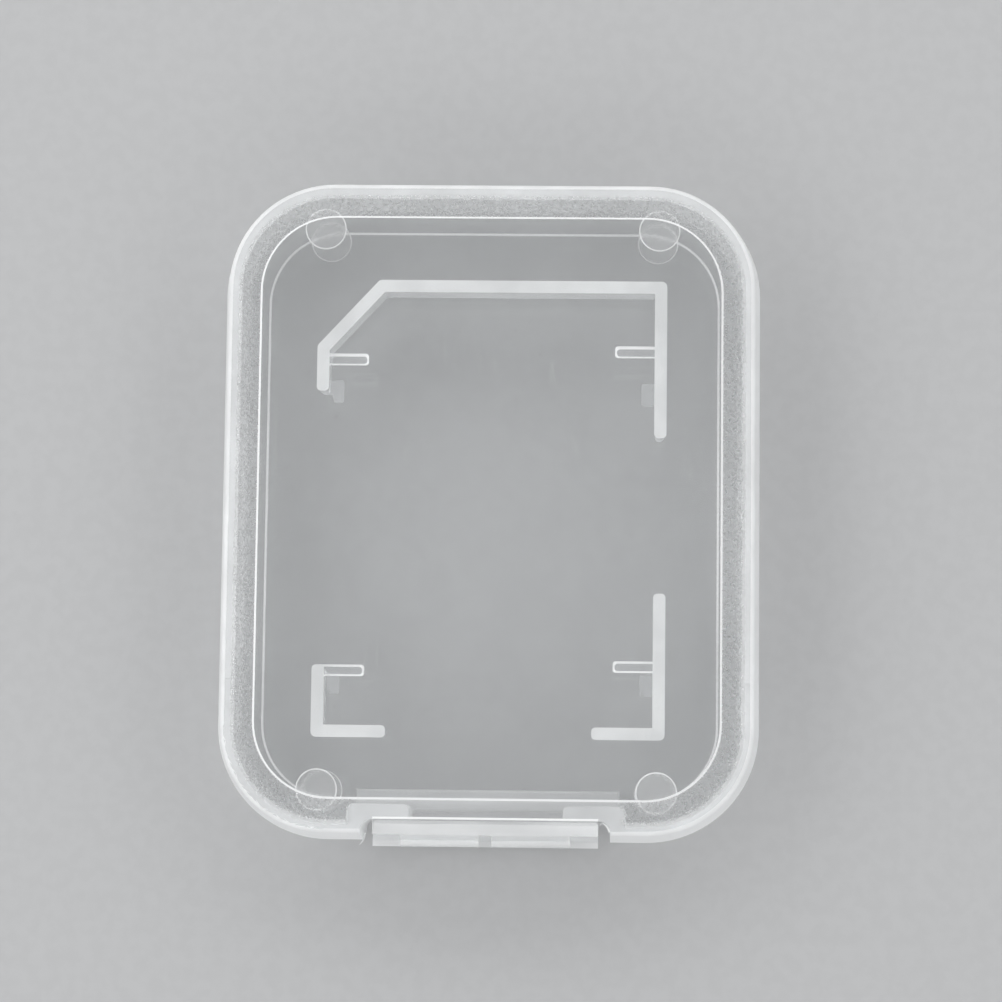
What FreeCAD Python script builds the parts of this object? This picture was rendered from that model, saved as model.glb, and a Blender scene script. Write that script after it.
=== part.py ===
import FreeCAD
import Part
import math
import os

V = FreeCAD.Vector

# Memory card case: a clear cover half and a clear holder half that fold shut like a book
# round a stiff spine. X runs along the hinge, Y from the hinge to the front, Z up.
# The origin is the middle of the cover's window face, which lies on the table. Sizes in mm.

# outline at the parting plane
case_w = 40.46
case_l = 49.5
corner_r = 8.4
edge_r = 0.4
wall_lean = 0.55
parting_gap = 0.06

# panels and walls
wall_t = 1.1
inner_lean = 0.12
floor_t = 1.2
floor_bevel = 0.25
border_side = 2.91
border_end = 2.96
window_r = 5.7
step_h = 0.15
step_bevel = 0.16
ejector_d = 3.1
ejector_depth = 0.1
ejector_bevel = 0.1
ejector_side = 12.54
ejector_front = 20.9
ejector_rear = 21.1

# card and its pocket
card_w = 24.0
card_l = 32.0
card_t = 2.1
card_side_clear = 0.17
card_end_clear = 0.23
card_face_clear = 0.05
card_cover_room = 1.95
card_cut_x = 4.1
card_cut_y = 4.45
pocket_mid_x = 0.05
pocket_mid_y = -0.08

# ribs round the card, from the panel down to their free edge
rib_t = 0.92
rib_lean = 0.12
rib_end_r = 0.32
rib_bend_r = 0.42
front_left_leg = 7.52
front_right_leg = 10.9
rear_left_leg = 4.45
rear_right_leg = 9.95
rear_left_foot = 4.6
rear_right_foot = 4.5

# rails under the card and nibs over it, placed from the near end of the pocket or from the slant
rail_w = 0.84
rail_l = 2.95
rail_h = 0.5
rail_lean = 0.03
rail_edge = 0.14
rail_r = 0.22
rail_past_slant = 0.68
rail_front_right_in = 4.43
rail_rear_left_in = 4.03
rail_rear_right_in = 4.48
nib_l = 1.65
nib_out = 0.92
nib_h = 0.5
nib_edge = 0.15
nib_r = 0.14
nib_over = 0.5
nib_cut_x = 0.25
nib_cut_y = 0.62
nib_front_in = 7.27
nib_rear_in = 3.23

# hinge: spine bar, the recess that it lies in and the film straps
spine_w = 16.6
spine_t = 1.9
spine_proud = 0.45
spine_r = 0.3
spine_clear = 0.1
notch_w = 0.9
notch_r = 0.85
return_end = 5.7
return_r = 0.4
land_l = 1.15
land_h = 0.35
land_bevel = 0.15
film_t = 0.4
film_land = 0.45
film_clear = 0.08
strap_l = 5.8
strap_gap = 0.9

# closing lip, its bumps and the thumb lip
lap_t = 0.5
lap_h = 0.7
lap_clear = 0.1
lap_rear_clear = 0.4
lap_rear_y = -12.5
bump_l = 3.0
bump_x = 7.0
bump_out = 0.1
bump_h = 0.36
thumb_l = 25.6
thumb_out = 0.14
thumb_h = 0.9
thumb_r = 0.1

# places that follow from the sizes
rib_h = rail_h + card_t + card_face_clear + nib_h
case_h = 2 * floor_t + rib_h + card_cover_room
rim_z = case_h / 2 - parting_gap / 2
pocket_x = card_w / 2 + card_side_clear
pocket_y = card_l / 2 + card_end_clear
ceiling_z = case_h - floor_t
spine_back_y = -(case_l / 2 + spine_proud)
spine_front_y = spine_back_y + spine_t
recess_y = spine_front_y + spine_clear
recess_x = spine_w / 2 + notch_w
film_r = film_t / 2
axis_y = spine_back_y + film_r
axis_z = film_r
strap_x = strap_gap / 2


def rounded_loop(points, radii, z):
    """Closed level outline through corner points, each rounded by its own radius."""
    corners = []
    for i, (x, y) in enumerate(points):
        here = V(x, y, z)
        back = (V(*points[i - 1], z) - here).normalize()
        ahead = (V(*points[(i + 1) % len(points)], z) - here).normalize()
        half = back.getAngle(ahead) / 2
        run = radii[i] / math.tan(half)
        middle = (back + ahead).normalize() * (radii[i] / math.sin(half) - radii[i])
        corners.append((here + back * run, here + middle, here + ahead * run))
    edges = []
    for i, (start, middle, end) in enumerate(corners):
        after = corners[(i + 1) % len(corners)][0]
        if radii[i] > 0:
            edges.append(Part.Arc(start, middle, end).toShape())
        if end.distanceToPoint(after) > 1e-6:
            edges.append(Part.LineSegment(end, after).toShape())
    return Part.Wire(edges)


def rounded_wire(half_x, half_y, r, z):
    """Closed rounded rectangle in a level plane."""
    points = [(half_x, -half_y), (half_x, half_y), (-half_x, half_y), (-half_x, -half_y)]
    return rounded_loop(points, [r] * 4, z)


def outline(inset, z):
    """Case outline, moved in by inset, with its corners on the same centres."""
    return rounded_wire(case_w / 2 - inset, case_l / 2 - inset, corner_r - inset, z)


def tapered(wire_a, wire_b):
    """Solid between two like outlines at different heights."""
    return Part.makeLoft([wire_a, wire_b], True, True)


def box(x0, x1, y0, y1, z0, z1):
    return Part.makeBox(x1 - x0, y1 - y0, z1 - z0, V(x0, y0, z0))


def extruded_x(points, x0, x1):
    """Solid of a Y-Z polygon between two X positions."""
    loop = [V(x0, y, z) for y, z in points]
    face = Part.Face(Part.makePolygon(loop + [loop[0]]))
    return face.extrude(V(x1 - x0, 0, 0))


def level_edges(shape, z):
    """Edges that lie at one height."""
    found = []
    for edge in shape.Edges:
        b = edge.BoundBox
        if abs(b.ZMin - z) < 1e-4 and abs(b.ZMax - z) < 1e-4:
            found.append(edge)
    return found


def upright_edges(shape, x, y):
    """Upright edges at one place in plan."""
    found = []
    for edge in shape.Edges:
        b = edge.BoundBox
        at_x = abs(b.XMin - x) < 1e-4 and abs(b.XMax - x) < 1e-4
        at_y = abs(b.YMin - y) < 1e-4 and abs(b.YMax - y) < 1e-4
        if at_x and at_y:
            found.append(edge)
    return found


def flip(shape):
    """Turns a piece of the lower half into its twin in the upper half."""
    return shape.mirror(V(0, 0, case_h / 2), V(0, 0, 1))


def outer_block():
    """Rim and border of one half as a solid, with its leaning sides and rounded edge."""
    block = tapered(outline(wall_lean, step_h), outline(0, rim_z))
    return block.makeFillet(edge_r, level_edges(block, step_h))


def cavity():
    """Room inside one half, with a small bevel where the walls meet the panel."""
    block = tapered(outline(wall_t + inner_lean, floor_t), outline(wall_t, rim_z))
    block = block.makeChamfer(floor_bevel, level_edges(block, floor_t))
    above = Part.Face(outline(wall_t, rim_z)).extrude(V(0, 0, wall_t))
    return block.fuse(above)


def window_pad():
    """Raised clear window, with the bevelled step that shows as a bright line."""
    half_x = case_w / 2 - border_side
    half_y = case_l / 2 - border_end
    low = rounded_wire(half_x - step_bevel, half_y - step_bevel, window_r - step_bevel, 0)
    high = rounded_wire(half_x, half_y, window_r, step_h)
    root = Part.Face(high).extrude(V(0, 0, floor_t - step_h))
    return tapered(low, high).fuse(root)


def ejector_mark(x, y):
    """Shallow round witness mark of an ejector pin on the inside of a panel."""
    depth = ejector_depth
    r = ejector_d / 2
    return Part.makeCone(r - ejector_bevel, r, depth, V(x, y, floor_t - depth))


def return_wall(side):
    """Wall that steps in round the end of the spine, on one side of the hinge."""
    outer_x = recess_x + wall_t
    inner_y = recess_y + wall_t
    block = box(return_end, outer_x, -case_l / 2, inner_y, floor_t - step_h, rim_z)
    block = block.makeFillet(return_r, upright_edges(block, return_end, inner_y))
    block = block.makeFillet(return_r, upright_edges(block, outer_x, inner_y))
    if side < 0:
        block = block.mirror(V(0, 0, 0), V(1, 0, 0))
    return block


def hinge_land():
    """Low step on the inside of the cover, along the wall behind the spine."""
    half_x = recess_x + wall_t - return_r
    wall_y = recess_y + wall_t
    top = floor_t + land_h
    block = box(-half_x, half_x, wall_y - return_r, wall_y + land_l, floor_t - step_h, top)
    return block.makeChamfer(land_bevel, level_edges(block, top))


def spine_recess():
    """Cut through the rim that the spine and the notches at its ends lie in."""
    block = box(-recess_x, recess_x, -case_l, recess_y, -case_h, case_h)
    edges = upright_edges(block, recess_x, recess_y) + upright_edges(block, -recess_x, recess_y)
    return block.makeFillet(notch_r, edges)


def strap_ranges():
    """X ranges of the two film straps of a hinge line."""
    return [(-strap_x - strap_l, -strap_x), (strap_x, strap_x + strap_l)]


def hinge_tab():
    """Tab of a panel beside the spine: bevelled towards the film, with its film lands."""
    end_y = axis_y + film_r + film_land
    bevel = floor_t - film_t
    root_y = recess_y + wall_t
    section = [
        (recess_y + step_bevel, step_h),
        (recess_y, 0),
        (end_y, 0),
        (end_y, film_t),
        (end_y + bevel, floor_t),
        (root_y, floor_t),
        (root_y, step_h),
    ]
    tab = extruded_x(section, -spine_w / 2, spine_w / 2)
    for x0, x1 in strap_ranges():
        tab = tab.fuse(box(x0, x1, axis_y + film_r + film_clear, end_y, 0, film_t))
    return tab.removeSplitter()


def half_shell():
    """One half of the case as it lies open side up."""
    outer = outer_block()
    shell = outer.cut(cavity())
    for side in (-1, 1):
        shell = shell.fuse(return_wall(side).common(outer))
    shell = shell.fuse(window_pad())
    shell = shell.cut(spine_recess())
    shell = shell.fuse(hinge_tab())
    for x in (-ejector_side, ejector_side):
        for y in (ejector_front, -ejector_rear):
            shell = shell.cut(ejector_mark(x, y))
    return shell.removeSplitter()


def lap_ring(inner, outer, z0, z1, rear_y):
    """Upright strip round the sides and the front, between two insets of the outline."""
    big = Part.Face(outline(outer, z0)).extrude(V(0, 0, z1 - z0))
    small = Part.Face(outline(inner, z0)).extrude(V(0, 0, z1 - z0))
    ring = big.cut(small)
    rear = box(-case_w, case_w, -case_l, rear_y, z0 - case_h, z1 + case_h)
    return ring.cut(rear)


def closing_lip():
    """Lap lip on the cover's rim, flush with the inside of the wall."""
    return lap_ring(wall_t, wall_t - lap_t, rim_z, rim_z + lap_h, lap_rear_y)


def lap_recess():
    """Room in the holder's rim for the closing lip."""
    low = case_h / 2 - parting_gap
    high = rim_z + lap_h + lap_clear
    rear = lap_rear_y - lap_rear_clear
    return lap_ring(wall_t + wall_t, wall_t - lap_t - lap_clear, low, high, rear)


def bump(x, out, length, height):
    """Low rounded bump on the front face of the closing lip."""
    face_y = case_l / 2 - wall_t + lap_t
    z = rim_z + lap_h / 2
    points = [V(x - length / 2, face_y, z - height / 2), V(x - length / 2, face_y + out, z)]
    points.append(V(x - length / 2, face_y, z + height / 2))
    arc = Part.Arc(points[0], points[1], points[2]).toShape()
    chord = Part.LineSegment(points[2], points[0]).toShape()
    return Part.Face(Part.Wire([arc, chord])).extrude(V(length, 0, 0))


def snap_bumps():
    return Part.makeCompound([bump(x, bump_out, bump_l, bump_h) for x in (-bump_x, bump_x)])


def snap_grooves():
    """Grooves in the holder's rim that the bumps drop into."""
    grow = lap_clear
    cuts = []
    for x in (-bump_x, bump_x):
        cuts.append(bump(x, bump_out + grow, bump_l + 2 * grow, bump_h + 2 * grow))
    return cuts


def thumb_lip():
    """Straight lip along the front edge of the cover, bevelled below for a thumb nail."""
    front = case_l / 2 + thumb_out
    back = case_l / 2 - wall_t / 2
    low = rim_z - thumb_h
    section = [
        (back, low),
        (front - thumb_out, low),
        (front, low + thumb_out),
        (front, rim_z),
        (back, rim_z),
    ]
    lip = extruded_x(section, -thumb_l / 2, thumb_l / 2)
    edges = upright_edges(lip, -thumb_l / 2, front) + upright_edges(lip, thumb_l / 2, front)
    lip = lip.makeFillet(thumb_r, edges)
    return lip.cut(outer_block())


def cover_shell():
    return half_shell().fuse(hinge_land()).removeSplitter()


def holder_shell():
    shell = flip(half_shell()).cut(lap_recess())
    for groove in snap_grooves():
        shell = shell.cut(groove)
    return shell


def hinge_spine():
    """Stiff bar with both long edges bevelled towards the film hinges."""
    back = spine_back_y
    end_z = axis_z + film_r + film_land
    flat_z = floor_t + spine_clear
    low = [
        (back, end_z),
        (back + film_t, end_z),
        (back + film_t + flat_z - end_z, flat_z),
        (spine_front_y, flat_z),
    ]
    high = [(y, case_h - z) for y, z in reversed(low)]
    bar = extruded_x(low + high, -spine_w / 2, spine_w / 2)
    edges = []
    for x in (-spine_w / 2, spine_w / 2):
        edges += upright_edges(bar, x, spine_front_y)
    return bar.makeFillet(spine_r, edges)


def film_strap(index):
    """Thin strap that joins the spine to the cover, rolled round the hinge line."""
    x0, x1 = strap_ranges()[index]
    end_z = axis_z + film_r + film_land
    back = spine_back_y
    a = V(x0, back, end_z)
    b = V(x0, back, axis_z)
    c = V(x0, axis_y, axis_z - film_r)
    d = V(x0, back + film_t, axis_z)
    e = V(x0, back + film_t, end_z)
    edges = [
        Part.LineSegment(a, b).toShape(),
        Part.Arc(b, c, d).toShape(),
        Part.LineSegment(d, e).toShape(),
        Part.LineSegment(e, a).toShape(),
    ]
    return Part.Face(Part.Wire(edges)).extrude(V(x1 - x0, 0, 0))


def offset_path(path, side):
    """Line beside a path, with mitred bends."""
    moved = []
    for i, (x, y) in enumerate(path):
        normals = []
        for a, b in ((i - 1, i), (i, i + 1)):
            if a >= 0 and b < len(path):
                run_x, run_y = path[b][0] - path[a][0], path[b][1] - path[a][1]
                length = math.hypot(run_x, run_y)
                normals.append((-run_y / length, run_x / length))
        mid_x = sum(n[0] for n in normals) / len(normals)
        mid_y = sum(n[1] for n in normals) / len(normals)
        reach = side / (mid_x ** 2 + mid_y ** 2)
        moved.append((x + mid_x * reach, y + mid_y * reach))
    return moved


def shortened(path, by):
    """Path with both ends pulled in."""
    path = list(path)
    for end, neighbour in ((0, 1), (-1, -2)):
        (x, y), (nx, ny) = path[end], path[neighbour]
        share = by / math.hypot(nx - x, ny - y)
        path[end] = (x + (nx - x) * share, y + (ny - y) * share)
    return path


def rib_outline(path, lean, z):
    """Outline of a rib in plan: square ends with small radii and rounded outer bends."""
    path = shortened(path, lean)
    half = rib_t / 2 - lean
    left, right = offset_path(path, half), offset_path(path, -half)
    left_r, right_r = [rib_end_r], [rib_end_r]
    for i in range(1, len(path) - 1):
        (ax, ay), (bx, by), (cx, cy) = path[i - 1 : i + 2]
        turns_left = (bx - ax) * (cy - by) - (by - ay) * (cx - bx) > 0
        left_r.append(0 if turns_left else rib_bend_r)
        right_r.append(rib_bend_r if turns_left else 0)
    left_r.append(rib_end_r)
    right_r.append(rib_end_r)
    return rounded_loop(left + right[::-1], left_r + right_r[::-1], z)


def rib(path):
    """Upright rib along a centre line, with a slight taper to its free edge."""
    return tapered(rib_outline(path, 0, ceiling_z), rib_outline(path, rib_lean, ceiling_z - rib_h))


def card_frame_front():
    """Rib round the front end of the card, slanted at the card's cut corner."""
    half = rib_t / 2
    x = pocket_x + half
    y = pocket_y + half
    slant = (card_cut_x ** 2 + card_cut_y ** 2) ** 0.5
    path = [
        (-x, pocket_y - front_left_leg),
        (-x, pocket_y - card_cut_y + half * (slant - card_cut_y) / card_cut_x),
        (-pocket_x + card_cut_x - half * (slant - card_cut_x) / card_cut_y, y),
        (x, y),
        (x, pocket_y - front_right_leg),
    ]
    return rib(path)


def card_frame_rear(side, leg, foot):
    """L-shaped rib at one rear corner of the card."""
    x = side * (pocket_x + rib_t / 2)
    y = -(pocket_y + rib_t / 2)
    path = [
        (x, -pocket_y + leg),
        (x, y),
        (side * (pocket_x - foot), y),
    ]
    return rib(path)


def lofted_tongue(side, tip_x, y, width, r, sections):
    """Small tongue that stands out from a rib: its outline at several heights, moved in by an inset."""
    root_x = pocket_x + rib_t / 2
    wires = []
    for z, end_inset, side_inset in sections:
        x0 = tip_x + end_inset
        y0, y1 = y - width / 2 + side_inset, y + width / 2 - side_inset
        wires.append(rounded_loop([(x0, y0), (root_x, y0), (root_x, y1), (x0, y1)], [r, 0, 0, r], z))
    tongue = Part.makeLoft(wires, True, True)
    if side < 0:
        tongue = tongue.mirror(V(0, 0, 0), V(1, 0, 0))
    return tongue


def card_rail(side, y, frame):
    """Short rail on the panel that the card's edge rests against, with its free edges bevelled."""
    low = ceiling_z - rail_h
    inset = rail_lean + rail_edge
    sections = [(ceiling_z, 0, 0), (low + rail_edge, rail_lean, rail_lean), (low, inset, inset)]
    return lofted_tongue(side, pocket_x - rail_l, y, rail_w, rail_r, sections).cut(frame)


def card_nib(side, y, frame):
    """Nib at the free edge of a rib, sloped so that the card can be pressed in past it."""
    low = ceiling_z - rib_h
    top = low + nib_h
    sections = [(top, 0, 0), (top - nib_edge, 0, 0), (low, nib_out - nib_edge, 0)]
    nib = lofted_tongue(side, pocket_x - nib_out, y, nib_l, nib_r, sections).cut(frame)
    return nib.cut(nib_corner(y)) if side < 0 else nib


def nib_corner(y):
    """Corner that the left nibs lack, beside the rib."""
    y0 = y - nib_l / 2
    root_x = -pocket_x - rib_t
    loop = [
        V(root_x, y0 - nib_r, -case_h),
        V(-pocket_x + nib_cut_x, y0 - nib_r, -case_h),
        V(-pocket_x, y0 + nib_cut_y, -case_h),
        V(root_x, y0 + nib_cut_y, -case_h),
    ]
    return Part.Face(Part.makePolygon(loop + [loop[0]])).extrude(V(0, 0, 3 * case_h))


def build():
    front = card_frame_front()
    left = card_frame_rear(-1, rear_left_leg, rear_left_foot)
    right = card_frame_rear(1, rear_right_leg, rear_right_foot)
    legs = {
        "front_left": (front, front_left_leg, card_cut_y + rail_past_slant, nib_front_in),
        "front_right": (front, front_right_leg, rail_front_right_in, nib_front_in),
        "rear_left": (left, rear_left_leg, rail_rear_left_in, nib_rear_in),
        "rear_right": (right, rear_right_leg, rail_rear_right_in, nib_rear_in),
    }
    nodes = {
        "cover_shell": cover_shell(),
        "closing_lip": closing_lip(),
        "snap_bumps": snap_bumps(),
        "thumb_lip": thumb_lip(),
        "hinge_spine": hinge_spine(),
        "film_lower_left": film_strap(0),
        "film_lower_right": film_strap(1),
        "film_upper_left": flip(film_strap(0)),
        "film_upper_right": flip(film_strap(1)),
        "holder_shell": holder_shell(),
        "card_frame_front": front,
        "card_frame_left": left,
        "card_frame_right": right,
    }
    for place, (frame, leg, rail_in, nib_in) in legs.items():
        end = 1 if place.startswith("front") else -1
        side = 1 if place.endswith("right") else -1
        rail_y = end * (pocket_y - min(rail_in, leg - rail_w / 2))
        nib_y = end * (pocket_y - min(nib_in, leg - nib_l / 2 + nib_over))
        nodes["card_rail_" + place] = card_rail(side, rail_y, frame)
        nodes["card_nib_" + place] = card_nib(side, nib_y, frame)
    for name in nodes:
        if name.startswith("card_"):
            nodes[name].translate(V(pocket_mid_x, pocket_mid_y, 0))
    return nodes


os.makedirs("parts", exist_ok=True)
for name, shape in build().items():
    print(name, "solids", len(shape.Solids), "valid", shape.isValid(), "volume %.3f" % shape.Volume)
    shape.exportStep("parts/" + name + ".step")
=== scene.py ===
import math

import bmesh
import bpy
from bpy.props import FloatProperty, FloatVectorProperty, PointerProperty
from mathutils import Matrix, Vector, noise


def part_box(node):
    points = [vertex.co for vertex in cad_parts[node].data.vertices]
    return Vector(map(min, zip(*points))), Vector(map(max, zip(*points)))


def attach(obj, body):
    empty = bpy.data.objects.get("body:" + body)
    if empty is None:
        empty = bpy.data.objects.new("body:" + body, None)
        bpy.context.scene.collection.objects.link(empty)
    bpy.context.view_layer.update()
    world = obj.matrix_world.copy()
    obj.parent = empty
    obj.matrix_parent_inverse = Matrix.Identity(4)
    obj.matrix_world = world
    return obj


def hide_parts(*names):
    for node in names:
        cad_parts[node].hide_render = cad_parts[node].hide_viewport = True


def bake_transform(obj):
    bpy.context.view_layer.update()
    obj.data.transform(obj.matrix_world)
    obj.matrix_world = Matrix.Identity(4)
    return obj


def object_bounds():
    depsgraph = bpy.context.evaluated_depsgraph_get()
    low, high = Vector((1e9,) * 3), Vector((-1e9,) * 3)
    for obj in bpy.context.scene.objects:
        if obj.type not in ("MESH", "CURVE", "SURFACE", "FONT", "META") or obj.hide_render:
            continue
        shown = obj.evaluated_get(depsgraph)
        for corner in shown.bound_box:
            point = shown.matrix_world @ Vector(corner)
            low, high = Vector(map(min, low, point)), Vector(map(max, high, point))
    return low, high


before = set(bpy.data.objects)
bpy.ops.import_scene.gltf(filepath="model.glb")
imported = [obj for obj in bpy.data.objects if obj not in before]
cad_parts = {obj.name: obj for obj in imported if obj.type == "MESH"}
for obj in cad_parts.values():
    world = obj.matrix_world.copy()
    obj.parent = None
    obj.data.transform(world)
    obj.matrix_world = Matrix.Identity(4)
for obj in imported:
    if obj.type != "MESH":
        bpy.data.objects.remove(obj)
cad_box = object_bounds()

bl_info = {
    "name": "Memory card case",
    "version": (1, 0, 0),
    "blender": (4, 5, 0),
    "location": "3D View > Sidebar > Card case",
    "description": "Dresses the packed card case: clear panels, grained borders, milky ribs, film hinges",
    "category": "Object",
}

MM = 0.001
case_top = cad_box[1].z
parting_z = (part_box("cover_shell")[1].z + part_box("holder_shell")[0].z) / 2
resin_ior = 1.49
white = (1.0, 1.0, 1.0)

rib_nodes = ["card_frame_front", "card_frame_left", "card_frame_right"]
corner_names = ["front_left", "front_right", "rear_left", "rear_right"]
rail_nodes = ["card_rail_" + corner for corner in corner_names]
nib_nodes = ["card_nib_" + corner for corner in corner_names]
film_sides = ["left", "right"]

# How strongly the pits of the grain show, in colour and in roughness, and how white the glints painted on the
# grain's highest points are.
pit_tint = 0.8
pit_shade = 0.62
pit_rough = 0.08
painted_glint_tint = 0.7

# How strongly the marks of use show, in colour, roughness and height.
scratch_tint = 0.35
scratch_shade = 0.8
scratch_rough = 0.25
scratch_height = -0.15
smudge_rough = 0.06

# Share of a face's normal along Z above which it is sloped, a rib's end, level, or the flat of the border.
sloped_face = 0.3
rib_end_face = 0.5
level_face = 0.9
border_face = 0.98

# Share of the window step's height down to which a face is the window's top, or the step's bevel.
top_share = 0.9
bevel_share = 0.98

# How far a face's height may be off and still count, and how far the films reach into their neighbours.
close_by = 0.02 * MM
film_overlap = 0.02 * MM

# Angle from which an edge of a new piece is sharp, and the straight pieces of its corners and bends.
sharp_angle = math.radians(40)
tip_steps = 8
bend_steps = 14
edge_steps = 3
flash_sides = 8

# Softboxes round the table: name, place in metres and share of the lamp power.
softbox_aim = (0.0, 0.0, 0.003)
softboxes = (
    ("Left softbox", (-0.40, 0.06, 0.27), 1.3),
    ("Right softbox", (0.42, -0.02, 0.27), 0.75),
    ("Front softbox", (0.05, 0.44, 0.29), 1.15),
    ("Rear softbox", (-0.06, -0.46, 0.27), 0.85),
)

# Camera that fits the photograph: its place in millimetres, the way it looks and its right-hand side.
camera_place = (7.32713, -24.10289, 233.60443)
camera_ahead = (-0.0283073, 0.1074717, -0.9938051)
camera_right = (0.9995591, 0.0119593, -0.0271779)


class CardCaseFinish(bpy.types.PropertyGroup):
    """Colours and surface of the natural polypropylene, and the colours of the highlights painted on its
    edges.
    """

    clear_colour: FloatVectorProperty(
        name="Clear panel", description="Tint of light that comes through the windows",
        default=(0.975, 0.982, 0.985), min=0, max=1, subtype="COLOR")
    milk_colour: FloatVectorProperty(
        name="Milky resin", description="Colour of thick places: walls, borders and the hinge bar",
        default=(0.93, 0.94, 0.945), min=0, max=1, subtype="COLOR")
    rib_colour: FloatVectorProperty(
        name="Rib roots", description="Colour of the ribs where they stand on the panel",
        default=(0.83, 0.845, 0.85), min=0, max=1, subtype="COLOR")
    # Painted highlight: the rails' side faces are near-white, standing in for the light that their clear
    # edges catch.
    rail_colour: FloatVectorProperty(
        name="Rail edges", description="Colour of the bright edges of the rails",
        default=(0.98, 0.985, 0.99), min=0, max=1, subtype="COLOR")
    # Painted highlight: whiter than the milky resin, to make up for the shade that the cover's bevel lies in.
    cover_line_highlight_colour: FloatVectorProperty(
        name="Lower window line", description="Colour of the bevel round the cover's window",
        default=(0.99, 0.995, 1.0), min=0, max=1, subtype="COLOR")
    dust_colour: FloatVectorProperty(
        name="Dust", description="Colour of dust specks",
        default=(0.82, 0.81, 0.79), min=0, max=1, subtype="COLOR")
    grain_size: FloatProperty(
        name="Grain size", description="Width of one pit of the spark-eroded border",
        default=0.13 * MM, min=0.02 * MM, subtype="DISTANCE", unit="LENGTH")
    grain_depth: FloatProperty(
        name="Grain depth", description="Depth of the pits of the border",
        default=0.02 * MM, min=0, subtype="DISTANCE", unit="LENGTH")


class CardCaseSizes(bpy.types.PropertyGroup):
    """Sizes that tell the faces of a shell apart, and those of the rails, the films and the flash."""

    step_height: FloatProperty(
        name="Window step", description="Height that the window stands proud of the border",
        default=0.15 * MM, min=0, subtype="DISTANCE", unit="LENGTH")
    panel_thickness: FloatProperty(
        name="Panel", description="Thickness of a panel from the window face to the inside",
        default=1.2 * MM, min=0, subtype="DISTANCE", unit="LENGTH")
    case_length: FloatProperty(
        name="Case length", description="Length of the two halves over their rims, without the hinge bar",
        default=49.5 * MM, min=0, subtype="DISTANCE", unit="LENGTH")
    corner_radius: FloatProperty(
        name="Corner radius", description="Radius of the corners of the halves at the parting line",
        default=8.4 * MM, min=0, subtype="DISTANCE", unit="LENGTH")
    rim_width: FloatProperty(
        name="Smooth rim", description="Width from the rim's outside to where the grain starts to fade",
        default=1.4 * MM, min=0, subtype="DISTANCE", unit="LENGTH")
    rim_fade: FloatProperty(
        name="Rim fade", description="Width over which the grain fades out along the rim",
        default=0.25 * MM, min=0.01 * MM, subtype="DISTANCE", unit="LENGTH")
    hinge_strip: FloatProperty(
        name="Smooth hinge strip", description="Half the length of the smooth strip of border by the hinge",
        default=9.7 * MM, min=0, subtype="DISTANCE", unit="LENGTH")
    hinge_strip_end: FloatProperty(
        name="Hinge strip end", description="Y at which the smooth strip by the hinge ends",
        default=-20.9 * MM, subtype="DISTANCE", unit="LENGTH")
    hinge_fade: FloatProperty(
        name="Hinge strip fade", description="Width over which the grain fades out by the hinge",
        default=0.4 * MM, min=0.01 * MM, subtype="DISTANCE", unit="LENGTH")
    edge_radius: FloatProperty(
        name="Edge radius", description="Radius of the outer edge of the border",
        default=0.4 * MM, min=0, subtype="DISTANCE", unit="LENGTH")
    mark_depth: FloatProperty(
        name="Ejector mark", description="Greatest depth of the ejector marks below the inside of a panel",
        default=0.12 * MM, min=0, subtype="DISTANCE", unit="LENGTH")
    land_height: FloatProperty(
        name="Hinge land", description="Height of the low step on the inside of the cover, by the hinge",
        default=0.35 * MM, min=0, subtype="DISTANCE", unit="LENGTH")
    tab_reach: FloatProperty(
        name="Hinge tab", description="Y beyond which a panel is its hinge tab",
        default=-23.15 * MM, subtype="DISTANCE", unit="LENGTH")
    rail_bevel: FloatProperty(
        name="Rail bevel", description="Width of the bevel round the free face of a rail",
        default=0.15 * MM, min=0, subtype="DISTANCE", unit="LENGTH")
    rail_round: FloatProperty(
        name="Rail tip", description="Radius of the corners at the tip of a rail",
        default=0.22 * MM, min=0.01 * MM, subtype="DISTANCE", unit="LENGTH")
    rail_sink: FloatProperty(
        name="Rail root", description="Depth that the root of a rail is sunk into the panel and the rib",
        default=0.05 * MM, min=0, subtype="DISTANCE", unit="LENGTH")
    film_gap: FloatProperty(
        name="Film gap", description="Room between a film's roll and the tab that it joins",
        default=0.08 * MM, min=0, subtype="DISTANCE", unit="LENGTH")
    film_bend: FloatProperty(
        name="Film bend", description="Radius on the inside of a film's bend",
        default=0.05 * MM, min=0.01 * MM, subtype="DISTANCE", unit="LENGTH")
    film_thinning: FloatProperty(
        name="Film thinning", description="How much thinner a film is at its bend",
        default=0.13 * MM, min=0, subtype="DISTANCE", unit="LENGTH")
    film_edge: FloatProperty(
        name="Film edge", description="Radius on the edges of a film",
        default=0.06 * MM, min=0.01 * MM, subtype="DISTANCE", unit="LENGTH")
    flash_thickness: FloatProperty(
        name="Flash", description="Thickness of the thin slivers at the parting line",
        default=0.09 * MM, min=0.01 * MM, subtype="DISTANCE", unit="LENGTH")


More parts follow.
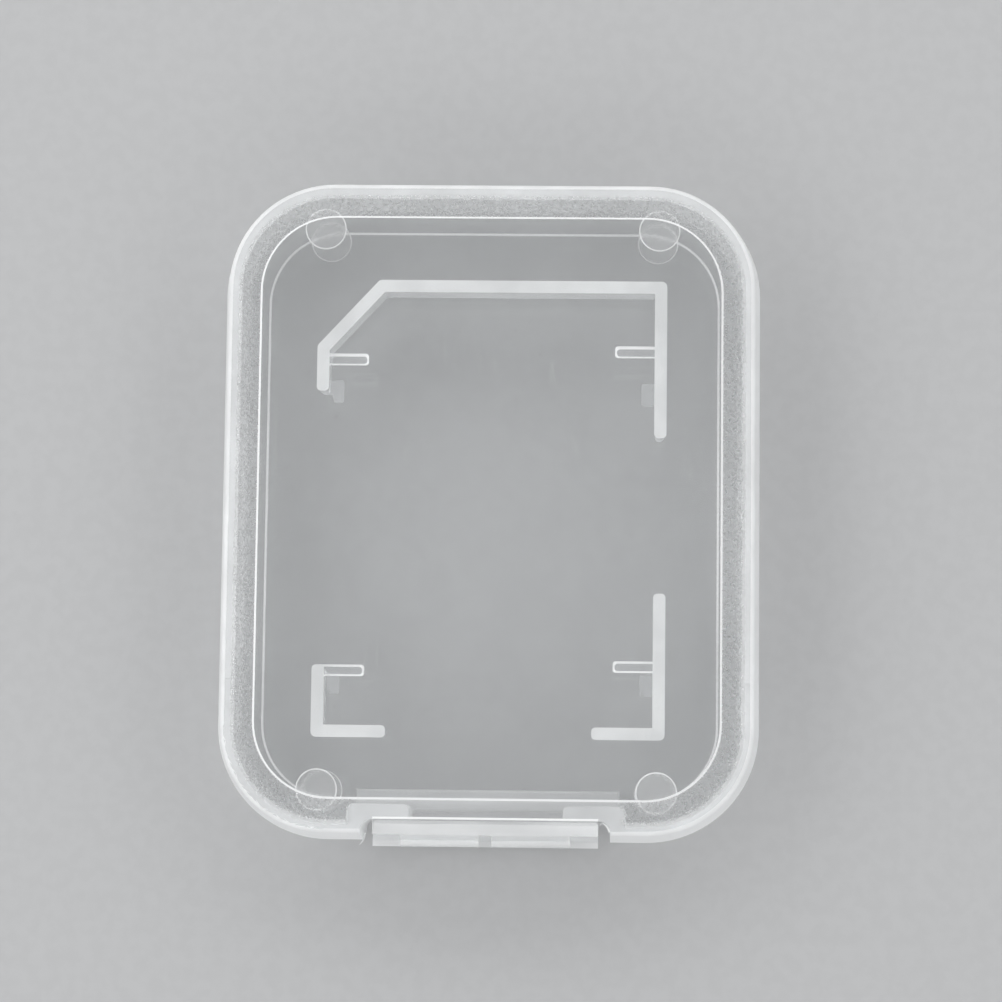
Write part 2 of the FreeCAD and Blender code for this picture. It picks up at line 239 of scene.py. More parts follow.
class CardCaseStage(bpy.types.PropertyGroup):
    """Floor, lamps and camera."""

    floor_colour: FloatVectorProperty(
        name="Floor", description="Colour of the plain floor",
        default=(0.50, 0.505, 0.51), min=0, max=1, subtype="COLOR")
    floor_half: FloatProperty(
        name="Floor reach", description="Distance from the middle of the floor to its edges",
        default=0.6, min=0.1, subtype="DISTANCE", unit="LENGTH")
    lamp_power: FloatProperty(
        name="Softbox power", description="Power of each softbox",
        default=1.0, min=0, unit="POWER")
    lamp_width: FloatProperty(
        name="Softbox width", description="Width of each softbox",
        default=0.80, min=0.01, subtype="DISTANCE", unit="LENGTH")
    lamp_height: FloatProperty(
        name="Softbox height", description="Height of each softbox",
        default=0.32, min=0.01, subtype="DISTANCE", unit="LENGTH")
    sky_level: FloatProperty(
        name="Room light", description="Brightness of the room round the table",
        default=0.74, min=0)
    ceiling_colour: FloatVectorProperty(
        name="Ceiling", description="Colour of the room straight above, which is darker than its sides",
        default=(0.30, 0.30, 0.31), min=0, max=1, subtype="COLOR")
    lens: FloatProperty(
        name="Lens", description="Focal length that gives the photograph's view",
        default=110.18, min=1, unit="CAMERA")


def add_node(tree, kind, inputs=None, **settings):
    """Adds a shader node, sets it up and fills its sockets with values or links."""
    made = tree.nodes.new(kind)
    for key, value in settings.items():
        setattr(made, key, value)
    for key, value in (inputs or {}).items():
        socket = made.inputs[key]
        if isinstance(value, bpy.types.NodeSocket):
            tree.links.new(value, socket)
        else:
            socket.default_value = value
    return made


def math_node(tree, operation, a, b=None):
    """Result of a sum on one or two numbers."""
    inputs = {0: a} if b is None else {0: a, 1: b}
    return add_node(tree, "ShaderNodeMath", inputs, operation=operation).outputs[0]


def vector_math(tree, operation, a, b=None, output=0):
    """Result of a sum on one or two vectors."""
    inputs = {0: a} if b is None else {0: a, 1: b}
    return add_node(tree, "ShaderNodeVectorMath", inputs, operation=operation).outputs[output]


def remap(tree, value, low, high, to_low=0.0, to_high=1.0):
    """Value stretched from one range to another, smoothly and clamped."""
    inputs = {"Value": value, "From Min": low, "From Max": high, "To Min": to_low, "To Max": to_high}
    return add_node(tree, "ShaderNodeMapRange", inputs, interpolation_type="SMOOTHSTEP").outputs[0]


def mix_colour(tree, factor, a, b):
    """Colour between a and b, each of which is a socket or three numbers."""
    made = add_node(tree, "ShaderNodeMix", data_type="RGBA")
    for index, value in ((0, factor), (6, a), (7, b)):
        socket = made.inputs[index]
        if isinstance(value, bpy.types.NodeSocket):
            tree.links.new(value, socket)
        else:
            socket.default_value = (*value, 1.0)
    return made.outputs[2]


def shaded(colour, share):
    """Colour with only a share of its brightness."""
    return tuple(channel * share for channel in colour)


def new_group(name, inputs, outputs):
    """Empty shader group with named sockets."""
    tree = bpy.data.node_groups.new(name, "ShaderNodeTree")
    for label, kind, value in inputs:
        socket = tree.interface.new_socket(label, in_out="INPUT", socket_type=kind)
        if value is not None:
            socket.default_value = value
    for label in outputs:
        tree.interface.new_socket(label, in_out="OUTPUT", socket_type="NodeSocketFloat")
    start = tree.nodes.new("NodeGroupInput")
    end = tree.nodes.new("NodeGroupOutput")
    return tree, start, end


def place_group(tree, name, make, inputs):
    """Places a shader group in a tree. The group is made when it is first asked for."""
    known = bpy.data.node_groups.get(name) or make()
    return add_node(tree, "ShaderNodeGroup", inputs, node_tree=known)


def moulded_grain_group():
    """Spark-eroded skin of the mould: fine pits of one size, and a mask for painted glints on its highest
    points.
    """
    inputs = [
        ("Vector", "NodeSocketVector", None),
        ("Size", "NodeSocketFloat", 0.13 * MM),
    ]
    tree, start, end = new_group("Moulded grain", inputs, ["Height", "Painted glint"])
    scale = math_node(tree, "DIVIDE", 1.0, start.outputs["Size"])
    pits = add_node(tree, "ShaderNodeTexNoise",
                    {"Vector": start.outputs["Vector"], "Scale": scale, "Detail": 1.0}).outputs[0]
    tree.links.new(remap(tree, pits, 0.32, 0.68), end.inputs["Height"])
    # Painted glint: a mask of the grain's highest points, which the finish mixes towards white.
    tree.links.new(remap(tree, pits, 0.56, 0.70), end.inputs["Painted glint"])
    return tree


def resin_cloud_group():
    """Slow change in the resin from the way it flowed into the mould."""
    inputs = [
        ("Vector", "NodeSocketVector", None),
        ("Flow", "NodeSocketVector", None),
        ("Size", "NodeSocketFloat", 6 * MM),
    ]
    tree, start, end = new_group("Resin cloud", inputs, ["Cloud"])
    scale = math_node(tree, "DIVIDE", 1.0, start.outputs["Size"])
    along = vector_math(tree, "MULTIPLY", start.outputs["Vector"], start.outputs["Flow"])
    drift = add_node(tree, "ShaderNodeTexNoise", {"Vector": along, "Scale": scale, "Detail": 2.0})
    tree.links.new(remap(tree, drift.outputs[0], 0.3, 0.7), end.inputs["Cloud"])
    return tree


def hair_lines(tree, vector, turn, scale, shown):
    """Fine straight scratches in one direction, of which only those in shown places show."""
    stretch = (1.0, 0.04, 0.2)
    line_width = 0.012
    aim = add_node(tree, "ShaderNodeMapping",
                   {"Vector": vector, "Rotation": (0, 0, turn), "Scale": stretch})
    bands = add_node(tree, "ShaderNodeTexNoise", {"Vector": aim.outputs[0], "Scale": scale, "Detail": 1.0})
    middle = math_node(tree, "ABSOLUTE", math_node(tree, "SUBTRACT", bands.outputs[0], 0.5))
    return math_node(tree, "MULTIPLY", remap(tree, middle, 0.0, line_width, 1.0, 0.0), shown)


def handling_marks_group():
    """Hair scratches, smudges and dust specks from use."""
    inputs = [("Vector", "NodeSocketVector", None)]
    tree, start, end = new_group("Handling marks", inputs, ["Scratch", "Dust", "Smudge"])
    vector = start.outputs["Vector"]
    smear = add_node(tree, "ShaderNodeTexNoise", {"Vector": vector, "Scale": 150.0, "Detail": 2.0}).outputs[0]
    first = hair_lines(tree, vector, 0.5, 520.0, remap(tree, smear, 0.62, 0.70))
    second = hair_lines(tree, vector, -0.9, 430.0, remap(tree, smear, 0.38, 0.30))
    specks = add_node(tree, "ShaderNodeTexVoronoi", {"Vector": vector, "Scale": 520.0}, feature="F1")
    speck_size = add_node(tree, "ShaderNodeSeparateColor", {"Color": specks.outputs["Color"]})
    reach = remap(tree, speck_size.outputs[0], 0.6, 1.0, 0.0, 0.07)
    tree.links.new(math_node(tree, "MAXIMUM", first, second), end.inputs["Scratch"])
    tree.links.new(math_node(tree, "LESS_THAN", specks.outputs["Distance"], reach), end.inputs["Dust"])
    tree.links.new(remap(tree, smear, 0.45, 0.75), end.inputs["Smudge"])
    return tree


def grained_zone_group():
    """Mask of the border's grained part: nothing on the smooth strips along the rim and by the hinge."""
    sizes = bpy.context.scene.card_case_sizes
    corner = sizes.corner_radius
    straight = (cad_box[1].x - corner, sizes.case_length / 2 - corner, 0.0)
    tree, start, end = new_group("Grained zone", [("Vector", "NodeSocketVector", None)], ["Zone"])
    place = start.outputs["Vector"]
    flat_place = vector_math(tree, "MULTIPLY", place, (1.0, 1.0, 0.0))
    past = vector_math(tree, "SUBTRACT", vector_math(tree, "ABSOLUTE", flat_place), straight)
    reach = vector_math(tree, "LENGTH", vector_math(tree, "MAXIMUM", past, (0.0, 0.0, 0.0)), output=1)
    smooth_from = corner - sizes.rim_width
    within = remap(tree, reach, smooth_from, smooth_from + sizes.rim_fade, 1.0, 0.0)
    apart = add_node(tree, "ShaderNodeSeparateXYZ", {0: place})
    aside = math_node(tree, "ABSOLUTE", apart.outputs["X"])
    beside = remap(tree, aside, sizes.hinge_strip, sizes.hinge_strip + sizes.hinge_fade)
    ahead = remap(tree, apart.outputs["Y"], sizes.hinge_strip_end, sizes.hinge_strip_end + sizes.hinge_fade)
    zone = math_node(tree, "MULTIPLY", within, math_node(tree, "MAXIMUM", beside, ahead))
    tree.links.new(zone, end.inputs["Zone"])
    return tree


def marked_look(tree, place, colour, base, roughness, marks):
    """Colour, roughness and height of a smooth face with marks of use."""
    dust_colour = tuple(bpy.context.scene.card_case_finish.dust_colour)
    used = place_group(tree, "Handling marks", handling_marks_group, {"Vector": place})
    scratch = used.outputs["Scratch"]
    scored = math_node(tree, "MULTIPLY", scratch, marks * scratch_tint)
    base = mix_colour(tree, scored, base, shaded(colour, scratch_shade))
    dusty = math_node(tree, "MULTIPLY", used.outputs["Dust"], marks)
    base = mix_colour(tree, dusty, base, dust_colour)
    scuff = math_node(tree, "ADD", math_node(tree, "MULTIPLY", scratch, marks * scratch_rough),
                      math_node(tree, "MULTIPLY", used.outputs["Smudge"], marks * smudge_rough))
    rough = math_node(tree, "ADD", scuff, roughness)
    height = math_node(tree, "MULTIPLY", scratch, marks * scratch_height)
    return base, rough, height


def grained_look(tree, place, colour, base, roughness, grain, size, zoned):
    """Colour, roughness and height of a face with the mould's grain, with painted glints whitening its
    highest points.
    """
    pit_size = bpy.context.scene.card_case_finish.grain_size * size
    skin = place_group(tree, "Moulded grain", moulded_grain_group, {"Vector": place, "Size": pit_size})
    pits = skin.outputs["Height"]
    painted_glint = skin.outputs["Painted glint"]
    if zoned:
        zone = place_group(tree, "Grained zone", grained_zone_group, {"Vector": place}).outputs["Zone"]
        pits = math_node(tree, "MULTIPLY", pits, zone)
        painted_glint = math_node(tree, "MULTIPLY", painted_glint, zone)
    base = mix_colour(tree, math_node(tree, "MULTIPLY", pits, grain * pit_tint),
                      base, shaded(colour, pit_shade))
    # Painted glints: the grain's highest points are mixed towards white, as if they caught the light.
    base = mix_colour(tree, math_node(tree, "MULTIPLY", painted_glint, grain * painted_glint_tint), base, white)
    rough = remap(tree, pits, 0.0, 1.0, roughness - pit_rough * grain, roughness + pit_rough * grain)
    height = math_node(tree, "MULTIPLY", pits, grain)
    return base, rough, height


def resin(name, colour, through, roughness, grain=0.0, size=1.0, zoned=False, marks=0.0, cloud=0.1,
          flow=(1.0, 1.0, 1.0), flow_size=6 * MM, lamp_pass=0.9, lets_bounce=False, gloss=0.5, alpha=1.0):
    """One finish of the natural resin: how much light it lets through, how grained and how marked it is."""
    known = bpy.data.materials.get(name)
    if known:
        return known
    material = bpy.data.materials.new(name)
    material.use_nodes = True
    tree = material.node_tree
    tree.nodes.clear()
    place = add_node(tree, "ShaderNodeTexCoord").outputs["Object"]
    drift = place_group(tree, "Resin cloud", resin_cloud_group,
                        {"Vector": place, "Flow": flow, "Size": flow_size})
    base = mix_colour(tree, drift.outputs["Cloud"], colour, shaded(colour, 1.0 - cloud))
    rough = roughness
    height = None
    if marks:
        base, rough, height = marked_look(tree, place, colour, base, roughness, marks)
    elif grain:
        base, rough, height = grained_look(tree, place, colour, base, roughness, grain, size, zoned)
    sockets = {"Base Color": base, "Roughness": rough, "IOR": resin_ior, "Specular IOR Level": gloss,
               "Transmission Weight": through, "Alpha": alpha}
    if height is not None:
        depth = bpy.context.scene.card_case_finish.grain_depth
        bump = add_node(tree, "ShaderNodeBump", {"Height": height, "Distance": depth, "Strength": 1.0})
        sockets["Normal"] = bump.outputs[0]
    shader = add_node(tree, "ShaderNodeBsdfPrincipled", sockets)
    lamps = add_node(tree, "ShaderNodeBsdfTransparent", {"Color": (lamp_pass, lamp_pass, lamp_pass, 1.0)})
    rays = add_node(tree, "ShaderNodeLightPath")
    passing = rays.outputs["Is Shadow Ray"]
    if lets_bounce:
        passing = math_node(tree, "MAXIMUM", passing, rays.outputs["Is Diffuse Ray"])
    both = add_node(tree, "ShaderNodeMixShader", {0: passing, 1: shader.outputs[0], 2: lamps.outputs[0]})
    add_node(tree, "ShaderNodeOutputMaterial", {"Surface": both.outputs[0]})
    return material


def finish_set():
    """All finishes of the case, made once."""
    tones = bpy.context.scene.card_case_finish
    clear = tuple(tones.clear_colour)
    milk = tuple(tones.milk_colour)
    streaks = {"flow": (0.12, 1.0, 1.0), "flow_size": 1.4 * MM}
    eroded = {"through": 0.84, "roughness": 0.22, "size": 1.8, "zoned": True, "cloud": 0.05,
              "lamp_pass": 0.88, "lets_bounce": True}
    # Opaque white finish for edges: a painted highlight that stands in for the bright line of light a clear
    # edge catches.
    bright = {"through": 0.0, "roughness": 0.30, "grain": 0.05, "gloss": 0.0}
    return {
        "window": resin("Clear window", clear, through=0.965, roughness=0.05, marks=0.7, cloud=0.02,
                        lamp_pass=0.95, lets_bounce=True),
        "border": resin("Grained border", milk, grain=0.75, **eroded),
        "cover_border": resin("Cover border", milk, grain=0.22, **eroded),
        "rim": resin("Smooth rim", milk, through=0.38, roughness=0.30, cloud=0.10, flow_size=3 * MM,
                     lamp_pass=0.8),
        "tab": resin("Hinge tab", milk, through=0.80, roughness=0.22, grain=0.1, cloud=0.22,
                     lamp_pass=0.85, **streaks),
        "wall": resin("Milky wall", milk, through=0.34, roughness=0.34, grain=0.08, cloud=0.08,
                      lamp_pass=0.6),
        "wall_end": resin("Wall end", milk, through=0.06, roughness=0.30, grain=0.05, cloud=0.08,
                          flow_size=3 * MM, lamp_pass=0.8),
        # The window bevels are painted highlights. The cover's is whiter still, to make up for the shade it
        # lies in under the case.
        "bevel": resin("Bevel with painted highlight", milk, cloud=0.03, lamp_pass=0.9, **bright),
        "cover_bevel": resin("Cover bevel with painted highlight", tuple(tones.cover_line_highlight_colour), cloud=0.02, lamp_pass=0.9, **bright),
        # Ejector rings: milkier than the panel, a painted highlight for the bright rings that the clear steps
        # catch.
        "ring": resin("Ejector ring", milk, through=0.30, roughness=0.30, grain=0.05, cloud=0.05,
                      lamp_pass=0.9, gloss=0.0),
        "mark": resin("Ejector mark", clear, through=0.88, roughness=0.20, grain=0.2, size=2.0, cloud=0.04,
                      lamp_pass=0.92, lets_bounce=True),
        "land": resin("Hinge land", milk, through=0.66, roughness=0.36, grain=0.05, cloud=0.12,
                      lamp_pass=0.88, lets_bounce=True, **streaks),
        "rib": resin("Milky rib", tuple(tones.rib_colour), through=0.0, roughness=0.30, grain=0.05,
                     cloud=0.12, flow_size=4 * MM, lamp_pass=0.7),
        "rib_side": resin("Rib side", milk, through=0.42, roughness=0.24, grain=0.06, cloud=0.08,
                          lamp_pass=0.7),
        "joint": resin("Moulded joint", clear, through=1.0, roughness=0.05, cloud=0.02, lamp_pass=1.0,
                       lets_bounce=True, alpha=0.0),
        "rail": resin("Clear rail", milk, through=0.88, roughness=0.12, grain=0.1, cloud=0.05,
                      lamp_pass=1.0, lets_bounce=True),
        # Rail edges: opaque white, a painted highlight for the bright outlines of the clear rails.
        "rail_edge": resin("Rail edge", tuple(tones.rail_colour), cloud=0.03, lamp_pass=1.0, **bright),
        "nib": resin("Clear nib", milk, through=0.84, roughness=0.18, grain=0.1, cloud=0.05,
                     lamp_pass=0.9, lets_bounce=True),
        "spine": resin("Hinge bar", milk, through=0.36, roughness=0.30, grain=0.1, cloud=0.2,
                       lamp_pass=0.6, **streaks),
        "film": resin("Hinge film", milk, through=0.55, roughness=0.26, grain=0.1, cloud=0.12,
                      lamp_pass=0.7, **streaks),
        "flash": resin("Flash", milk, through=0.20, roughness=0.22, grain=0.1, cloud=0.05, lamp_pass=0.7),
    }


def paint(mesh, names, choose):
    """Gives each face of a mesh the finish that choose(face) names."""
    finishes = finish_set()
    mesh.materials.clear()
    for name in names:
        mesh.materials.append(finishes[name])
    for face in mesh.polygons:
        face.material_index = names.index(choose(face))


def dress(node, names, choose):
    """Paints a CAD node, whose shape stays as it is."""
    paint(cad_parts[node].data, names, choose)


def shell_finish(face, outside, sizes):
    """Finish of one face of a shell, by how deep it lies below the shell's outside and how it faces."""
    depth = abs(face.center.z - outside)
    inside = depth - sizes.panel_thickness
    flat = abs(face.normal.z)
    is_level = flat > level_face
    is_cover = outside == 0.0
    if is_level and depth < sizes.step_height * top_share:
        return "tab" if face.center.y < sizes.tab_reach else "window"
    if flat > sloped_face and depth < sizes.step_height * bevel_share:
        return "cover_bevel" if is_cover else "bevel"
    if depth < sizes.step_height + sizes.edge_radius:
        if flat < border_face:
            return "rim"
        return "cover_border" if is_cover else "border"
    if is_level and abs(inside) < close_by:
        return "window"
    if -sizes.mark_depth < inside < -close_by:
        return "mark" if is_level else "ring"
    if is_cover and flat > sloped_face and close_by < inside < sizes.land_height + close_by:
        return "land"
    return "wall_end" if is_level else "wall"


class CARDCASE_OT_shells(bpy.types.Operator):
    """Dresses the two shells: windows, grained borders, bevels and ejector rings with painted highlights, and
    milky walls
    """

    bl_idname = "card_case.shells"
    bl_label = "Cover and holder shells"

    def execute(self, context):
        sizes = context.scene.card_case_sizes
        names = ["window", "border", "cover_border", "rim", "tab", "wall", "wall_end", "bevel", "cover_bevel",
                 "ring", "mark", "land"]
        for node, outside in (("cover_shell", 0.0), ("holder_shell", case_top)):
            dress(node, names, lambda face: shell_finish(face, outside, sizes))
        return {"FINISHED"}


class CARDCASE_OT_closing_edge(bpy.types.Operator):
    """Dresses the closing lip, its snap bumps and the thumb lip"""

    bl_idname = "card_case.closing_edge"
    bl_label = "Closing edge"

    def execute(self, context):
        for node in ("closing_lip", "snap_bumps", "thumb_lip"):
            dress(node, ["wall"], lambda face: "wall")
        return {"FINISHED"}


def add_piece(name, build, names, choose):
    """Mesh piece from a bmesh, smooth except at its sharp edges, with the finish that choose(face) names."""
    bmesh.ops.recalc_face_normals(build, faces=build.faces)
    mesh = bpy.data.meshes.new(name)
    build.to_mesh(mesh)
    build.free()
    paint(mesh, names, choose)
    mesh.shade_smooth()
    mesh.set_sharp_from_angle(angle=sharp_angle)
    piece = bpy.data.objects.new(name, mesh)
    bpy.context.scene.collection.objects.link(piece)
    return piece


def skin_rings(rings):
    """New bmesh: a closed skin over a row of rings of points, with a face on the first and the last."""
    build = bmesh.new()
    made = [[build.verts.new(point) for point in ring] for ring in rings]
    for a, b in zip(made, made[1:]):
        for i in range(len(a)):
            j = (i + 1) % len(a)
            build.faces.new((a[i], a[j], b[j], b[i]))
    build.faces.new(made[0])
    build.faces.new(list(reversed(made[-1])))
    return build


def rail_outline(root_x, tip_x, y0, y1, round_off, height):
    """Loop round a rail at one height: square at the rib, rounded at its tip."""
    way = 1.0 if tip_x > root_x else -1.0
    points = [Vector((root_x, y1, height)), Vector((root_x, y0, height))]
    for mid_y, start in ((y0 + round_off, -90.0), (y1 - round_off, 0.0)):
        for step in range(tip_steps + 1):
            angle = math.radians(start + 90.0 * step / tip_steps)
            points.append(Vector((tip_x + way * round_off * (math.cos(angle) - 1.0),
                                  mid_y + round_off * math.sin(angle), height)))
    return points


def rail_finish(face):
    """Finish of one face of a rail: its root is one with the panel, so no skin shows there."""
    if face.normal.z > level_face:
        return "joint"
    return "rail" if face.normal.z < -level_face else "rail_edge"


def rail_piece(node, sizes):
    """One rail in place of its CAD node, with its root sunk a little into the panel and the rib."""
    low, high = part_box(node)
    sink = sizes.rail_sink
    bevel = sizes.rail_bevel
    if low.x + high.x < 0.0:
        root_x, tip_x, way = low.x - sink, high.x, 1.0
    else:
        root_x, tip_x, way = high.x + sink, low.x, -1.0
    rings = []
    for height, inset in ((high.z + sink, 0.0), (low.z + bevel, 0.0), (low.z, bevel)):
        rings.append(rail_outline(root_x, tip_x - way * inset, low.y + inset, high.y - inset,
                                  sizes.rail_round, height))
    piece = add_piece(node.replace("card", "clear"), skin_rings(rings), ["rail", "rail_edge", "joint"],
                      rail_finish)
    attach(piece, "holder")
    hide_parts(node)


class CARDCASE_OT_card_frame(bpy.types.Operator):
    """Dresses the ribs round the card, the rails under it and the nibs over it"""

    bl_idname = "card_case.card_frame"
    bl_label = "Card frame"

    def execute(self, context):
        for node in rib_nodes:
            dress(node, ["rib", "rib_side"],
                  lambda face: "rib" if abs(face.normal.z) > rib_end_face else "rib_side")
        for node in rail_nodes:
            rail_piece(node, context.scene.card_case_sizes)
        for node in nib_nodes:
            dress(node, ["nib", "rib_side"],
                  lambda face: "nib" if abs(face.normal.z) > sloped_face else "rib_side")
        return {"FINISHED"}


def film_stations(low, high, sizes):
    """Outer and inner line of a film in Y and Z, from its tab round the bend to the spine."""
    thick = high.y - low.y
    bend = sizes.film_bend
    mid_y = high.y + bend
    mid_z = low.z + thick + bend
    tab_y = high.y + sizes.film_gap + film_overlap
    bar_z = high.z + film_overlap
    stations = [((tab_y, low.z), (tab_y, low.z + thick))]
    for i in range(bend_steps + 1):
        angle = math.pi / 2 * i / bend_steps
        side, down = -math.sin(angle), -math.cos(angle)
        outer = bend + thick
        inner = bend + sizes.film_thinning * math.sin(2 * angle) ** 2
        stations.append(((mid_y + outer * side, mid_z + outer * down),
                         (mid_y + inner * side, mid_z + inner * down)))
    stations.append(((low.y, bar_z), (high.y, bar_z)))
    return stations


def film_piece(name, node, upper, sizes):
    """One film strap as a bent strip with rounded edges, in place of its CAD node."""
    low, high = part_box(node)
    if upper:
        low, high = Vector((low.x, low.y, case_top - high.z)), Vector((high.x, high.y, case_top - low.z))
    edge = sizes.film_edge
    rings = []
    for (outer_y, outer_z), (inner_y, inner_z) in film_stations(low, high, sizes):
        across = Vector((0.0, inner_y - outer_y, inner_z - outer_z))
        depth = across.length
        across.normalize()
        corners = [(high.x - edge, depth - edge, 0), (low.x + edge, depth - edge, 90),
                   (low.x + edge, edge, 180), (high.x - edge, edge, 270)]
        ring = []
        for x, rise, turn in corners:
            for step in range(edge_steps + 1):
                angle = math.radians(turn + 90 * step / edge_steps)
                foot = Vector((x + edge * math.cos(angle), outer_y, outer_z))
                point = foot + across * (rise + edge * math.sin(angle))
                if upper:
                    point.z = case_top - point.z
                ring.append(point)
        rings.append(ring)
    return add_piece(name, skin_rings(rings), ["film"], lambda face: "film")


class CARDCASE_OT_hinge(bpy.types.Operator):
    """Dresses the hinge bar and makes its four film straps"""

    bl_idname = "card_case.hinge"
    bl_label = "Book hinge"

    def execute(self, context):
        sizes = context.scene.card_case_sizes
        dress("hinge_spine", ["spine"], lambda face: "spine")
        for side in film_sides:
            for level, bodies in (("lower", ("cover", "spine")), ("upper", ("holder", "spine"))):
                node = "film_" + level + "_" + side
                upper = level == "upper"
                piece = film_piece("hinge_film_" + level + "_" + side, node, upper, sizes)
                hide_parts(node)
                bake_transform(piece)
        return {"FINISHED"}


def flash_sliver(name, body, height, points, sizes):
    """Thin tapered sliver of resin that stands off the parting line, along points in X and Y."""
    taper = 0.75
    wobble = 0.25
    wobble_scale = 4000.0
    flatness = 0.6
    path = [Vector((x * MM, y * MM, height)) for x, y in points]
    rings = []
    for i, here in enumerate(path):
        run = (path[min(i + 1, len(path) - 1)] - path[max(i - 1, 0)]).normalized()
        side = Vector((-run.y, run.x, 0.0))
        share = 1.0 - taper * i / (len(path) - 1)
        wide = sizes.flash_thickness * share * (1.0 + wobble * noise.noise(here * wobble_scale))
        tall = wide * flatness
        ring = []
        for step in range(flash_sides):
            angle = 2 * math.pi * step / flash_sides
            ring.append(here + side * (wide * math.cos(angle)) + Vector((0.0, 0.0, tall * math.sin(angle))))
        rings.append(ring)
    piece = add_piece(name, skin_rings(rings), ["flash"], lambda face: "flash")
    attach(piece, body)


class CARDCASE_OT_flash(bpy.types.Operator):
    """Makes the slivers of flash that the moulding left: at the notches and at the front corner"""

    bl_idname = "card_case.flash"
    bl_label = "Flash"

    def execute(self, context):
        sizes = context.scene.card_case_sizes
        seam = parting_z - 0.12 * MM
        top = case_top - 0.3 * MM
        flash_sliver("flash_left_notch", "cover", seam,
                     [(-9.12, -24.2), (-9.10, -24.45), (-9.17, -24.72), (-9.32, -24.95), (-9.48, -25.13)],
                     sizes)
        flash_sliver("flash_right_notch", "holder", top,
                     [(9.16, -24.0), (9.03, -23.72), (8.86, -23.5), (8.66, -23.36), (8.48, -23.4),
                      (8.4, -23.56)], sizes)
        flash_sliver("flash_front_corner", "cover", seam,
                     [(-17.2, 22.74), (-17.5, 22.58), (-17.72, 22.5), (-17.84, 22.52)], sizes)
        return {"FINISHED"}


def softbox(name, place, width, height, power):
    """Area lamp that looks at the case."""
    data = bpy.data.lights.new(name, "AREA")
    data.shape = "RECTANGLE"
    data.size = width
    data.size_y = height
    data.energy = power
    lamp = bpy.data.objects.new(name, data)
    lamp.location = place
    lamp.rotation_mode = "QUATERNION"
    lamp.rotation_quaternion = (Vector(softbox_aim) - Vector(place)).to_track_quat("-Z", "Y")
    bpy.context.scene.collection.objects.link(lamp)


def floor_material(colour):
    """Matt, nearly even finish of the table."""
    fleck_depth = 0.015
    material = bpy.data.materials.new("Matt table")
    material.use_nodes = True
    tree = material.node_tree
    tree.nodes.clear()
    place = add_node(tree, "ShaderNodeTexCoord").outputs["Object"]
    fleck = add_node(tree, "ShaderNodeTexNoise", {"Vector": place, "Scale": 900.0, "Detail": 3.0})
    tone = mix_colour(tree, remap(tree, fleck.outputs[0], 0.35, 0.65),
                      shaded(colour, 1.0 - fleck_depth), shaded(colour, 1.0 + fleck_depth))
    shader = add_node(tree, "ShaderNodeBsdfPrincipled",
                      {"Base Color": tone, "Roughness": 0.9, "Specular IOR Level": 0.1})
    add_node(tree, "ShaderNodeOutputMaterial", {"Surface": shader.outputs[0]})
    return material


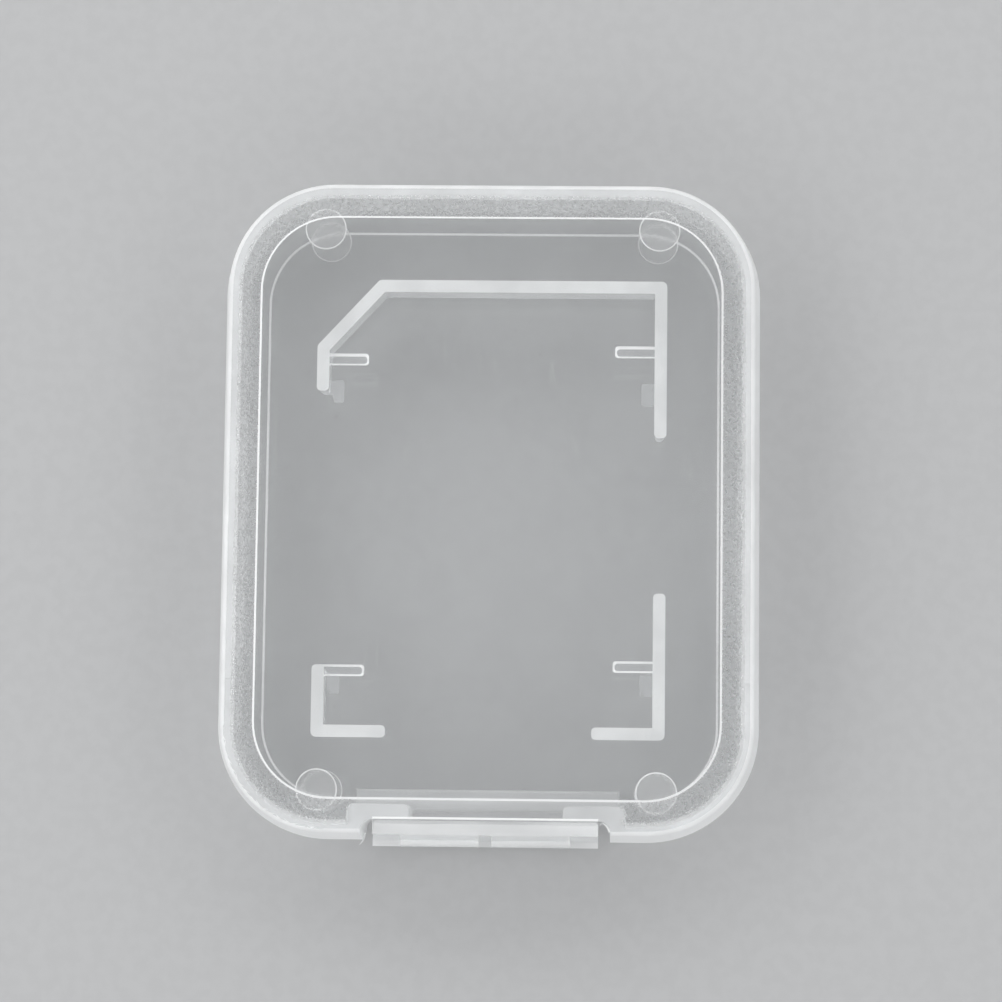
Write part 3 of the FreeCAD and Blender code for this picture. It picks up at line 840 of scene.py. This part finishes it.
class CARDCASE_OT_stage(bpy.types.Operator):
    """Makes the floor, the softboxes, the room light and the camera"""

    bl_idname = "card_case.stage"
    bl_label = "Stage"

    def execute(self, context):
        stage = context.scene.card_case_stage
        self.make_floor(stage.floor_half, tuple(stage.floor_colour))
        self.make_room(stage.sky_level, tuple(stage.ceiling_colour))
        for name, place, share in softboxes:
            softbox(name, place, stage.lamp_width, stage.lamp_height, stage.lamp_power * share)
        self.make_camera(stage.lens)
        context.scene.view_settings.view_transform = "Standard"
        return {"FINISHED"}

    def make_floor(self, half, colour):
        """Flat floor, a hair below the case."""
        low = cad_box[0].z - 0.01 * MM
        corners = [(-half, -half, low), (half, -half, low), (half, half, low), (-half, half, low)]
        mesh = bpy.data.meshes.new("Table")
        mesh.from_pydata(corners, [], [(0, 1, 2, 3)])
        mesh.materials.append(floor_material(colour))
        table = bpy.data.objects.new("Table", mesh)
        bpy.context.scene.collection.objects.link(table)

    def make_room(self, level, ceiling_colour):
        """Room that is white at its sides and darker at its ceiling."""
        world = bpy.data.worlds.new("Studio room")
        bpy.context.scene.world = world
        world.use_nodes = True
        tree = world.node_tree
        tree.nodes.clear()
        aim = add_node(tree, "ShaderNodeTexCoord").outputs["Generated"]
        up = add_node(tree, "ShaderNodeSeparateXYZ", {0: aim}).outputs["Z"]
        tone = mix_colour(tree, remap(tree, up, 0.35, 0.95), white, ceiling_colour)
        light = add_node(tree, "ShaderNodeBackground", {"Color": tone, "Strength": level})
        add_node(tree, "ShaderNodeOutputWorld", {"Surface": light.outputs[0]})

    def make_camera(self, lens):
        """Camera at the photograph's place, with the photograph's view."""
        ahead = Vector(camera_ahead).normalized()
        right = Vector(camera_right).normalized()
        above = right.cross(ahead).normalized()
        data = bpy.data.cameras.new("Photo view")
        data.lens = lens
        data.sensor_width = 36.0
        data.clip_start = 0.005
        data.clip_end = 20.0
        camera = bpy.data.objects.new("Photo view", data)
        turn = Matrix((right, above, -ahead)).transposed()
        camera.matrix_world = Matrix.Translation(Vector(camera_place) * MM) @ turn.to_4x4()
        bpy.context.scene.collection.objects.link(camera)
        bpy.context.scene.camera = camera


class CARDCASE_PT_panel(bpy.types.Panel):
    """Lists the steps and the values of the card case"""

    bl_label = "Memory card case"
    bl_idname = "CARDCASE_PT_panel"
    bl_space_type = "VIEW_3D"
    bl_region_type = "UI"
    bl_category = "Card case"

    def draw(self, context):
        for step in steps:
            self.layout.operator(step.bl_idname)
        for values in (context.scene.card_case_finish, context.scene.card_case_sizes,
                       context.scene.card_case_stage):
            box = self.layout.box()
            for key in values.__annotations__:
                box.prop(values, key)


groups = (CardCaseFinish, CardCaseSizes, CardCaseStage)
steps = (CARDCASE_OT_shells, CARDCASE_OT_closing_edge, CARDCASE_OT_card_frame, CARDCASE_OT_hinge,
         CARDCASE_OT_flash, CARDCASE_OT_stage)
classes = groups + steps + (CARDCASE_PT_panel,)


def register():
    for made in classes:
        bpy.utils.register_class(made)
    bpy.types.Scene.card_case_finish = PointerProperty(type=CardCaseFinish)
    bpy.types.Scene.card_case_sizes = PointerProperty(type=CardCaseSizes)
    bpy.types.Scene.card_case_stage = PointerProperty(type=CardCaseStage)


def unregister():
    del bpy.types.Scene.card_case_finish
    del bpy.types.Scene.card_case_sizes
    del bpy.types.Scene.card_case_stage
    for made in reversed(classes):
        bpy.utils.unregister_class(made)


def main():
    register()
    bpy.ops.card_case.shells()
    bpy.ops.card_case.closing_edge()
    bpy.ops.card_case.card_frame()
    bpy.ops.card_case.hinge()
    bpy.ops.card_case.flash()
    bpy.ops.card_case.stage()


if __name__ == "__main__":
    main()
